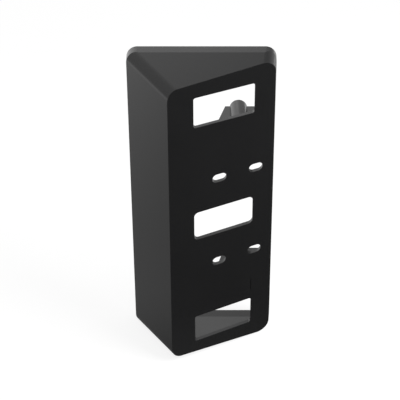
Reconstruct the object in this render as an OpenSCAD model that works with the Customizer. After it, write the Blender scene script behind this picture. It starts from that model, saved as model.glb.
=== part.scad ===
// Corner bracket for a door intercom: one hollow moulded wedge.
// Its rim sits on the wall and its sloping plate turns the door station to one side.
// The mould opens along Y, so the rim, windows, slots, bosses and ribs all run that way.
// Axes: X along the wall, Y into the wall, Z up. The origin is the middle of the wall face.
// A depth is a distance out from the wall, towards -Y.

/* [Body] */
// Width of the rim along the wall, at its front edge
body_w = 80.5; // [76:0.1:110]
// Height of the rim, at its front edge
body_h = 178.3; // [172:0.1:240]
// Depth of the rim
rim_d = 7.9; // [5:0.1:10]
// Draft of the rim's left and right sides, which makes it a little wider at the wall
rim_side_draft = 2; // [0.2:0.1:3]
// Draft of the rim's top and bottom
rim_end_draft = 0.4; // [0.2:0.1:3]
// Depth of the plate's low edge
low_edge_d = 15.3; // [12:0.1:25]
// Angle between the plate and the wall
plate_angle = 30; // [22:1:36]
// Taper of the two end faces, in front of the rim
end_taper = 6.1; // [1:0.1:8]
// Taper of the right side, in front of the rim
side_taper = 5; // [1:0.1:6]
// Radius of the rim's corners
rim_r = 6; // [4.5:0.1:8]
// Radius along the edges between the side face and the two end faces
left_edge_r = 6.4; // [4.5:0.1:8]
// Radius along the edges between the right side and the two end faces
right_edge_r = 6.9; // [4.5:0.1:8]

/* [Walls] */
// Thickness of the side and end walls
wall_t = 3.2; // [2.5:0.1:4]
// Thickness of the plate, square to its face
plate_t = 2.5; // [2:0.1:3.5]
// How much closer to the wall the end walls start to taper on their inner side
taper_lead = 0.9; // [0:0.1:2]

/* [Cable windows] */
// Width of a window, along X
window_w = 32.3; // [16:0.1:36]
// Height of a window
window_h = 17.3; // [8:0.1:20]
// Middle of the windows, to the right of the body's middle
window_x = 12.2; // [10:0.1:16]
// Height of the middle window above the body's middle
window_z = -0.3; // [-2:0.1:2]
// Distance from the middle window up to the top one and down to the bottom one
window_pitch = 69.3; // [66:0.1:70]
// Corner radius of the top and bottom windows
end_window_r = 1.2; // [0.5:0.1:3]
// Corner radius of the middle window
mid_window_r = 2.4; // [0.5:0.1:4]

/* [Station slots] */
// Width of a slot, for the screws that hold the door station
slot_w = 4.9; // [3.5:0.1:6]
// Length of a slot from end to end, along X
slot_l = 7.6; // [7:0.1:12]
// Distance between the two columns of slots
slot_pitch_x = 20; // [16:0.5:24]
// Distance between the two rows of slots
slot_pitch_z = 53.6; // [40:0.1:80]
// Middle of the slots, to the right of the body's middle
slot_x = 19.7; // [14:0.1:24]
// Height of the middle of the slots above the body's middle
slot_z = -0.5; // [-3:0.1:3]

/* [Wall bosses] */
// Outer diameter of a boss
boss_d = 9.6; // [7:0.1:12]
// Diameter of the screw hole in a boss
pilot_d = 3.3; // [2.5:0.1:4.5]
// Depth of the screw hole
pilot_depth = 14; // [8:1:16]
// Middle of the bosses, to the right of the body's middle
boss_x = 20.3; // [16:0.1:24]
// Height of the upper boss above the body's middle
upper_boss_z = 52.4; // [46:0.1:54]
// Distance between the two bosses
boss_pitch = 93.6; // [80:0.1:100]

/* [Ribs] */
// Thickness of the rib that carries a boss
rib_t = 1.6; // [1:0.1:3]
// Reach of a rib at the wall, from the middle of its boss to its free side
rib_reach = 7.3; // [6:0.1:12]
// Slant of the rib's free side
rib_slant = 13; // [0:0.5:20]

/* [Register mark] */
// Width of the fine groove above the bottom window
mark_w = 0.4; // [0.2:0.1:0.8]
// Depth of the groove, square to the plate
mark_depth = 0.3; // [0.1:0.1:0.6]
// Length of each of the groove's two legs
mark_l = 7.5; // [4:0.5:12]
// Distance from the bottom window up to the groove
mark_gap = 6; // [3:0.5:8]

/* [Hidden] */
$fn = 96;

// How far a cutting shape runs past the face that it opens
over = 1;
// Longer than the body, for shapes that are trimmed afterwards
far = 2 * body_h;
// Rounds are cut this little too shallow, so that they cross both faces and don't just touch them
hair = 0.002;

// The plate's low edge, where the right side's taper ends
low_edge_x = body_w / 2 - (low_edge_d - rim_d) * tan(side_taper);

// The ridge where the side face and the plate meet. They are square to each other.
side_face_w = (low_edge_x + body_w / 2) * sin(plate_angle) + (low_edge_d - rim_d) * cos(plate_angle);
ridge_x = side_face_w * sin(plate_angle) - body_w / 2;
ridge_d = side_face_w * cos(plate_angle) + rim_d;

// Outward directions of the side face, the right side and the top face
side_n = [-cos(plate_angle), -sin(plate_angle), 0];
right_n = [cos(side_taper), -sin(side_taper), 0];
top_n = [0, -sin(end_taper), cos(end_taper)];

// The same for the rim's right side and its top
rim_right_n = [cos(rim_side_draft), -sin(rim_side_draft), 0];
rim_top_n = [0, -sin(rim_end_draft), cos(rim_end_draft)];

// Heights of the two bosses
boss_zs = [upper_boss_z, upper_boss_z - boss_pitch];

// Carries a shape drawn at the origin to point p, with its X along x_dir and its Z along z_dir
module place(p, x_dir, z_dir) {
    y_dir = cross(z_dir, x_dir);
    multmatrix([
        [x_dir.x, y_dir.x, z_dir.x, p.x],
        [x_dir.y, y_dir.y, z_dir.y, p.y],
        [x_dir.z, y_dir.z, z_dir.z, p.z],
        [0, 0, 0, 1]
    ]) children();
}

// Extrudes a shape drawn in the front view (X, Z) between two depths
module along_y(from_depth, to_depth) {
    translate([0, -from_depth, 0])
        rotate([90, 0, 0])
            linear_extrude(height = to_depth - from_depth) children();
}

// Corners of a tapered outline, as [place along Y, distance from the middle]. It is 2 * half wide at depth d.
function taper_outline(half, d, angle) =
    let (
        wall = half + (d + over) * tan(angle),
        front = half - (ridge_d + over - d) * tan(angle)
    )
    [[over, wall], [-ridge_d - over, front], [-ridge_d - over, -front], [over, -wall]];

// A rectangle about the origin, with rounded corners
module rounded_rect(w, h, r) {
    square([w - 2 * r, h], center = true);
    square([w, h - 2 * r], center = true);
    for (sx = [-1, 1], sy = [-1, 1])
        translate([sx * (w / 2 - r), sy * (h / 2 - r)]) circle(r);
}

// All space between the side face and the plate, with those faces moved in by the two insets
module inside_ridge(inset, plate_inset) {
    translate([ridge_x, -ridge_d, 0])
        rotate([0, 0, plate_angle])
            translate([inset, plate_inset, -far]) cube([far, far, 2 * far]);
}

// All space to the left of the tapered right side
module inside_right(inset) {
    translate([body_w / 2, -rim_d, 0])
        rotate([0, 0, -side_taper])
            translate([-inset - far, -far, -far]) cube([far, 2 * far, 2 * far]);
}

// All space between the two tapered end faces, which start to taper ahead of the rim's depth by lead
module between_ends(inset, lead) {
    half_h = body_h / 2 - lead * tan(end_taper) - inset / cos(end_taper);
    rotate([90, 0, 90])
        linear_extrude(height = far, center = true)
            polygon(taper_outline(half_h, rim_d, end_taper));
}

// All space between the rim's four sides
module inside_rim(inset) {
    half_w = body_w / 2 - inset / cos(rim_side_draft);
    half_h = body_h / 2 - inset / cos(rim_end_draft);
    intersection() {
        linear_extrude(height = far, center = true)
            polygon([for (p = taper_outline(half_w, rim_d, rim_side_draft)) [p.y, p.x]]);
        rotate([90, 0, 90])
            linear_extrude(height = far, center = true)
                polygon(taper_outline(half_h, rim_d, rim_end_draft));
    }
}

// What a round of radius r takes off a corner of the given angle.
// The corner is at the origin, and one of its sides lies on the X axis.
module round_waste(angle, r) {
    tangent = r / tan(angle / 2);
    centre = [tangent, r];
    far_tangent = tangent * [cos(angle), sin(angle)];
    // The corner and both tangent points are pushed out by half their distance from the centre
    push = 1.5;
    difference() {
        polygon([
            centre,
            centre + push * [0, -r],
            centre + push * -centre,
            centre + push * (far_tangent - centre)
        ]);
        translate(centre) circle(r);
    }
}

// The same along an edge that passes through p, between faces with outward directions n1 and n2
module edge_waste(p, n1, n2, r, inset) {
    along_edge = cross(n1, n2) / norm(cross(n1, n2));
    across = cross(along_edge, n1);
    into_face = -sign(across * n2) * across;
    angle = 180 - acos(n1 * n2);
    place(p, into_face, cross(n1, into_face))
        translate([(inset - hair) / tan(angle / 2), inset - hair, 0])
            linear_extrude(height = 2 * body_w, center = true)
                round_waste(angle, r - inset);
}

// The rounds along both sides of the top face
module top_waste(inset, lead) {
    top_z = body_h / 2 - lead * tan(end_taper);
    edge_waste([-body_w / 2, -rim_d, top_z], side_n, top_n, left_edge_r, inset);
    edge_waste([body_w / 2, -rim_d, top_z], right_n, top_n, right_edge_r, inset);
}

// The rim's two rounded corners at the top
module rim_waste(inset) {
    for (side = [0, 1])
        mirror([side, 0, 0])
            edge_waste([body_w / 2, -rim_d, body_h / 2], rim_right_n, rim_top_n, rim_r, inset);
}

// The wedge's form, with its side and end faces moved in by inset and its plate by plate_inset
module wedge(inset, plate_inset, lead, from_depth) {
    difference() {
        intersection() {
            along_y(from_depth, ridge_d + over) square(far, center = true);
            inside_rim(inset);
            inside_ridge(inset, plate_inset);
            inside_right(inset);
            between_ends(inset, lead);
        }
        for (end = [0, 1])
            mirror([0, 0, end]) {
                rim_waste(inset);
                top_waste(inset, lead);
            }
    }
}

// The hollow shell, open at the wall
module shell() {
    difference() {
        wedge(0, 0, 0, 0);
        wedge(wall_t, plate_t, taper_lead, -over / 2);
    }
}

// A round post between the plate and the wall, for a screw that comes from the wall
module boss(z) {
    translate([boss_x, 0, z])
        along_y(0, ridge_d) circle(d = boss_d);
}

// The flat web that joins a boss to the plate and to the right wall
module rib(z) {
    free_side = boss_x - rib_reach;
    translate([0, 0, z - rib_t / 2])
        linear_extrude(height = rib_t)
            polygon([
                [free_side, 0],
                [free_side - ridge_d * tan(rib_slant), -ridge_d],
                [body_w / 2, -ridge_d],
                [body_w / 2, 0]
            ]);
}

// Both bosses with their ribs, ending halfway into the walls that they join
module supports() {
    intersection() {
        wedge(wall_t / 2, plate_t / 2, 0, 0);
        for (z = boss_zs) {
            boss(z);
            rib(z);
        }
    }
}

module cable_windows() {
    for (row = [-1, 0, 1])
        translate([window_x, 0, window_z + row * window_pitch])
            along_y(rim_d, ridge_d + over)
                rounded_rect(window_w, window_h, row == 0 ? mid_window_r : end_window_r);
}

module station_slots() {
    ends = (slot_l - slot_w) / 2;
    for (sx = [-1, 1], sz = [-1, 1])
        translate([slot_x + sx * slot_pitch_x / 2, 0, slot_z + sz * slot_pitch_z / 2])
            along_y(rim_d, ridge_d + over) {
                square([2 * ends, slot_w], center = true);
                for (end = [-1, 1]) translate([end * ends, 0]) circle(d = slot_w);
            }
}

module screw_holes() {
    for (z = boss_zs)
        translate([boss_x, 0, z])
            along_y(-over, pilot_depth) circle(d = pilot_d);
}

// Two fine grooves that meet in a corner, in line with the right side of the windows
module register_mark() {
    corner_x = window_x + window_w / 2;
    corner_z = window_z - window_pitch + window_h / 2 + mark_gap;
    difference() {
        translate([corner_x, 0, corner_z])
            along_y(low_edge_d, ridge_d) {
                translate([-mark_w, 0]) square([mark_w, mark_l]);
                translate([-mark_l, 0]) square([mark_l, mark_w]);
            }
        inside_ridge(0, mark_depth);
    }
}

module bracket() {
    color([0.05, 0.05, 0.055])
        difference() {
            union() {
                shell();
                supports();
            }
            cable_windows();
            station_slots();
            screw_holes();
            register_mark();
        }
}

bracket();
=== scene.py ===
# Looks of the corner bracket: one black moulding, seen from above on a white studio floor.
# Metres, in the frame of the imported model: X along the wall, Y into the wall, Z up.

import math

import bpy
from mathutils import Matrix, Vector


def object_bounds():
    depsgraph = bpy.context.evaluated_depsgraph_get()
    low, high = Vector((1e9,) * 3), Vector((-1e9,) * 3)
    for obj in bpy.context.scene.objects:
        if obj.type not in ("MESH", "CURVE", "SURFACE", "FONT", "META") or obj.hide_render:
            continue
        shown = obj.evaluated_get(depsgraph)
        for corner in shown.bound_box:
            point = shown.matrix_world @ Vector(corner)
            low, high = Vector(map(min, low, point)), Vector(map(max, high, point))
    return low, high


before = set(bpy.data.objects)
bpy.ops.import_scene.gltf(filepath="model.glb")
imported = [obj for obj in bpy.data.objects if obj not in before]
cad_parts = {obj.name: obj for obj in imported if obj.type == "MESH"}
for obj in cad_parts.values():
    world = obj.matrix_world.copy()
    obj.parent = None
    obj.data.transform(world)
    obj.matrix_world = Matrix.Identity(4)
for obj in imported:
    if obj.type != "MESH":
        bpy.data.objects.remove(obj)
cad_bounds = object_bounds()

# The photograph's camera: its frame is square, and the bracket stands a little off the frame's middle
IMAGE_PX = 400
FOCAL_PX = 1156.35
PRINCIPAL_PX = (210.93, 165.44)
CAMERA_PLACE = (0.00511, -0.57310, 0.33901)
CAMERA_PITCH = math.radians(29.437)
SENSOR_MM = 36

# Black plastic: flow marks in its colour and gloss, spark-eroded grain, and edges that catch the light
PLASTIC_DARK = (0.0115, 0.0115, 0.0118, 1)
PLASTIC_LIGHT = (0.0150, 0.0150, 0.0154, 1)
PLASTIC_IOR = 1.5
ROUGHNESS_RANGE = (0.18, 0.26)
FLOW_NOISE = {"Scale": 22, "Detail": 3, "Distortion": 0.6}
GRAIN_NOISE = {"Scale": 2600, "Detail": 2, "Roughness": 0.6}
GRAIN_DEPTH = 0.000012
GRAIN_STRENGTH = 0.5
EDGE_RADIUS = 0.0002
EDGE_SAMPLES = 4

WHITE = (1, 1, 1, 1)
RIGHT = (1, 0, 0)
UP = (0, 0, 1)

# The floor is white paper to the camera, with a share that takes the bracket's shadow
FLOOR_SIZE = 6
FLOOR_COLOUR = (0.8, 0.8, 0.8, 1)
SHADOW_SHARE = 0.35
PAPER_LEVEL = 1.29
# Reflections see a painted glow on the floor, brighter with distance towards the back, dark in front on
# the right
FLOOR_NEAR_TO_FAR = (0.28, 1.08)
FLOOR_FAR_DIRECTION = (-0.40, 0.92, 0)
FLOOR_FAR = 0.77
FLOOR_DARK_SIDE = 0.02
FLOOR_SIDE_DIRECTION = (-0.80, 0.60, 0)
FLOOR_SIDE_RANGE = (-0.087, 0.065)

# The even sky, which lights the floor and the plastic's own colour
SKY_LEVEL = 0.5
# Reflections show two glows instead. The large one is behind the bracket on the left. Each of its fades is
# a range of the height, or of the place to the right, and the share of the glow at the range's two ends.
GLOW_DIRECTION = (-0.487, 0.855, 0.177)
GLOW_LEVEL = 1.17
GLOW_POWER = 2.2
GLOW_TOP_FADE = (0.55, 0.70, 1, 0.84)
GLOW_RIGHT_FADE = (-0.10, 0.15, 1, 0.66)
GLOW_LEFT_FADE = (-0.95, -0.45, 0.95, 1)
# The other one is on the right, low over the horizon, and even in its middle, up to the cap
SIDE_GLOW_DIRECTION = (0.998, 0.06, 0)
SIDE_GLOW_LEVEL = 3.5
SIDE_GLOW_POWER = 4.9
SIDE_GLOW_CAP = 1.2

# The soft key light
KEY_PLACE = (0.30, -0.18, 0.26)
KEY_AIM = (0.02, -0.02, 0.05)
KEY_SIZE = (0.25, 0.25)
KEY_POWER = 1.45
# Panels close behind the bracket's open back: place, size and power
BACK_PANELS = {
    "top_back_light": ((0.0160, 0.035, 0.0935), (0.056, 0.015), 0.000867),
    "upper_back_light": ((0.0260, 0.035, 0.0580), (0.035, 0.056), 0.002024),
    "lower_back_light": ((0.0190, 0.035, -0.0285), (0.054, 0.117), 0.006524),
}


def new_material(name):
    material = bpy.data.materials.new(name)
    material.use_nodes = True
    material.node_tree.nodes.clear()
    return material, material.node_tree


def add_node(tree, kind, **settings):
    """A shader node with its properties and inputs set by name."""
    node = tree.nodes.new("ShaderNode" + kind)
    for name, value in settings.items():
        if name in node.inputs:
            node.inputs[name].default_value = value
        else:
            setattr(node, name, value)
    return node


def feed(tree, sockets, values):
    """Gives inputs their values in turn. Each value is another node's socket, or a constant."""
    for socket, value in zip(sockets, values):
        if isinstance(value, bpy.types.NodeSocket):
            tree.links.new(value, socket)
        else:
            socket.default_value = value


def calculate(tree, operation, first, second):
    """A Math node's result."""
    node = add_node(tree, "Math", operation=operation)
    feed(tree, node.inputs, (first, second))
    return node.outputs["Value"]


def along(tree, place, direction):
    """How far a place, or a direction, points along a fixed direction."""
    node = add_node(tree, "VectorMath", operation="DOT_PRODUCT")
    feed(tree, node.inputs, (place, direction))
    return node.outputs["Value"]


def ramp(tree, value, start, end, low, high):
    """Maps start..end of a value smoothly to low..high."""
    node = add_node(tree, "MapRange", clamp=True, interpolation_type="SMOOTHSTEP")
    sockets = [node.inputs[name] for name in ("Value", "From Min", "From Max", "To Min", "To Max")]
    feed(tree, sockets, (value, start, end, low, high))
    return node.outputs["Result"]


def mix_shaders(tree, share, first, second):
    """The first shader, with the given share of the second."""
    node = add_node(tree, "MixShader")
    feed(tree, node.inputs, (share, first, second))
    return node.outputs["Shader"]


def black_plastic():
    """Satin black plastic: fine grain, and faint broad changes in colour and gloss from the flow."""
    material, tree = new_material("black_plastic")
    link = tree.links.new
    place = add_node(tree, "TexCoord").outputs["Object"]

    flow = add_node(tree, "TexNoise", **FLOW_NOISE)
    link(place, flow.inputs["Vector"])
    colour = add_node(tree, "ValToRGB")
    for element, tone in zip(colour.color_ramp.elements, (PLASTIC_DARK, PLASTIC_LIGHT)):
        element.color = tone
    link(flow.outputs["Fac"], colour.inputs["Fac"])

    grain = add_node(tree, "TexNoise", **GRAIN_NOISE)
    link(place, grain.inputs["Vector"])
    edges = add_node(tree, "Bevel", samples=EDGE_SAMPLES, Radius=EDGE_RADIUS)
    bump = add_node(tree, "Bump", Strength=GRAIN_STRENGTH, Distance=GRAIN_DEPTH)
    link(grain.outputs["Fac"], bump.inputs["Height"])
    link(edges.outputs["Normal"], bump.inputs["Normal"])

    shader = add_node(tree, "BsdfPrincipled", IOR=PLASTIC_IOR)
    link(colour.outputs["Color"], shader.inputs["Base Color"])
    link(ramp(tree, flow.outputs["Fac"], 0, 1, *ROUGHNESS_RANGE), shader.inputs["Roughness"])
    link(bump.outputs["Normal"], shader.inputs["Normal"])
    output = add_node(tree, "OutputMaterial")
    link(shader.outputs["BSDF"], output.inputs["Surface"])
    return material


def add_camera():
    """Looks straight at the wall, and down by its pitch."""
    data = bpy.data.cameras.new("camera")
    data.sensor_width = SENSOR_MM
    data.lens = FOCAL_PX * SENSOR_MM / IMAGE_PX
    data.shift_x = 0.5 - PRINCIPAL_PX[0] / IMAGE_PX
    data.shift_y = PRINCIPAL_PX[1] / IMAGE_PX - 0.5
    camera = bpy.data.objects.new("camera", data)
    camera.location = CAMERA_PLACE
    camera.rotation_euler = (math.pi / 2 - CAMERA_PITCH, 0, 0)
    bpy.context.scene.collection.objects.link(camera)
    bpy.context.scene.camera = camera


def white_floor():
    """White paper with a faint shadow to the camera, a painted graded glow to reflections, else plain
    paper.
    """
    material, tree = new_material("white_floor")
    paper = add_node(tree, "BsdfDiffuse", Color=FLOOR_COLOUR).outputs["BSDF"]
    white = add_node(tree, "Emission", Color=WHITE, Strength=PAPER_LEVEL).outputs["Emission"]
    seen = mix_shaders(tree, SHADOW_SHARE, white, paper)

    # Painted light: to reflections the floor glows, brighter towards the back and dark in front on the
    # right
    place = add_node(tree, "NewGeometry").outputs["Position"]
    far = ramp(tree, along(tree, place, FLOOR_FAR_DIRECTION), 0, FLOOR_FAR, *FLOOR_NEAR_TO_FAR)
    side = ramp(tree, along(tree, place, FLOOR_SIDE_DIRECTION), *FLOOR_SIDE_RANGE, FLOOR_DARK_SIDE, 1)
    painted_reflection_glow = add_node(tree, "Emission", Color=WHITE)
    tree.links.new(calculate(tree, "MULTIPLY", far, side), painted_reflection_glow.inputs["Strength"])

    path = add_node(tree, "LightPath").outputs
    to_camera = mix_shaders(tree, path["Is Camera Ray"], paper, seen)
    to_gloss = mix_shaders(tree, path["Is Glossy Ray"], to_camera, painted_reflection_glow.outputs["Emission"])
    output = add_node(tree, "OutputMaterial")
    tree.links.new(to_gloss, output.inputs["Surface"])
    return material


def add_floor():
    bpy.ops.mesh.primitive_plane_add(size=FLOOR_SIZE, location=(0, 0, cad_bounds[0][2]))
    floor = bpy.context.object
    floor.name = "floor"
    floor.data.materials.append(white_floor())


def lobe(tree, direction, middle, level, power):
    """Light that falls off as a power of the cosine from the middle direction."""
    towards = calculate(tree, "MAXIMUM", along(tree, direction, middle), 0)
    return calculate(tree, "MULTIPLY", calculate(tree, "POWER", towards, power), level)


def add_world():
    """White to the camera, two broad glows to reflections, and an even sky for the soft light."""
    world = bpy.data.worlds.new("world")
    world.use_nodes = True
    tree = world.node_tree
    direction = add_node(tree, "TexCoord").outputs["Generated"]
    glow = lobe(tree, direction, GLOW_DIRECTION, GLOW_LEVEL, GLOW_POWER)
    for axis, fade in ((UP, GLOW_TOP_FADE), (RIGHT, GLOW_RIGHT_FADE), (RIGHT, GLOW_LEFT_FADE)):
        glow = calculate(tree, "MULTIPLY", glow, ramp(tree, along(tree, direction, axis), *fade))
    side_glow = lobe(tree, direction, SIDE_GLOW_DIRECTION, SIDE_GLOW_LEVEL, SIDE_GLOW_POWER)
    glow = calculate(tree, "ADD", glow, calculate(tree, "MINIMUM", side_glow, SIDE_GLOW_CAP))

    path = add_node(tree, "LightPath").outputs
    strength = SKY_LEVEL
    for ray, level in (("Is Glossy Ray", glow), ("Is Camera Ray", 1)):
        other = calculate(tree, "MULTIPLY", calculate(tree, "SUBTRACT", 1, path[ray]), strength)
        strength = calculate(tree, "ADD", calculate(tree, "MULTIPLY", path[ray], level), other)
    background = tree.nodes["Background"]
    background.inputs["Color"].default_value = WHITE
    tree.links.new(strength, background.inputs["Strength"])
    bpy.context.scene.world = world


def add_light(name, place, aim, size, power):
    """A rectangular lamp that the camera doesn't see."""
    data = bpy.data.lights.new(name, "AREA")
    data.shape = "RECTANGLE"
    data.size, data.size_y = size
    data.energy = power
    lamp = bpy.data.objects.new(name, data)
    lamp.location = place
    lamp.rotation_euler = (Vector(aim) - Vector(place)).to_track_quat("-Z", "Y").to_euler()
    lamp.visible_camera = False
    bpy.context.scene.collection.objects.link(lamp)
    return lamp


def add_lights():
    """A key light that reflections don't show, and panels behind the bracket that only they show."""
    key = add_light("key_light", KEY_PLACE, KEY_AIM, KEY_SIZE, KEY_POWER)
    key.visible_glossy = False
    for name, (place, size, power) in BACK_PANELS.items():
        panel = add_light(name, place, (place[0], 0, place[2]), size, power)
        panel.visible_diffuse = False


add_camera()
add_floor()
add_world()
add_lights()
plastic = black_plastic()
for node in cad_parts.values():
    node.data.materials.clear()
    node.data.materials.append(plastic)

bpy.context.scene.view_settings.view_transform = "Standard"
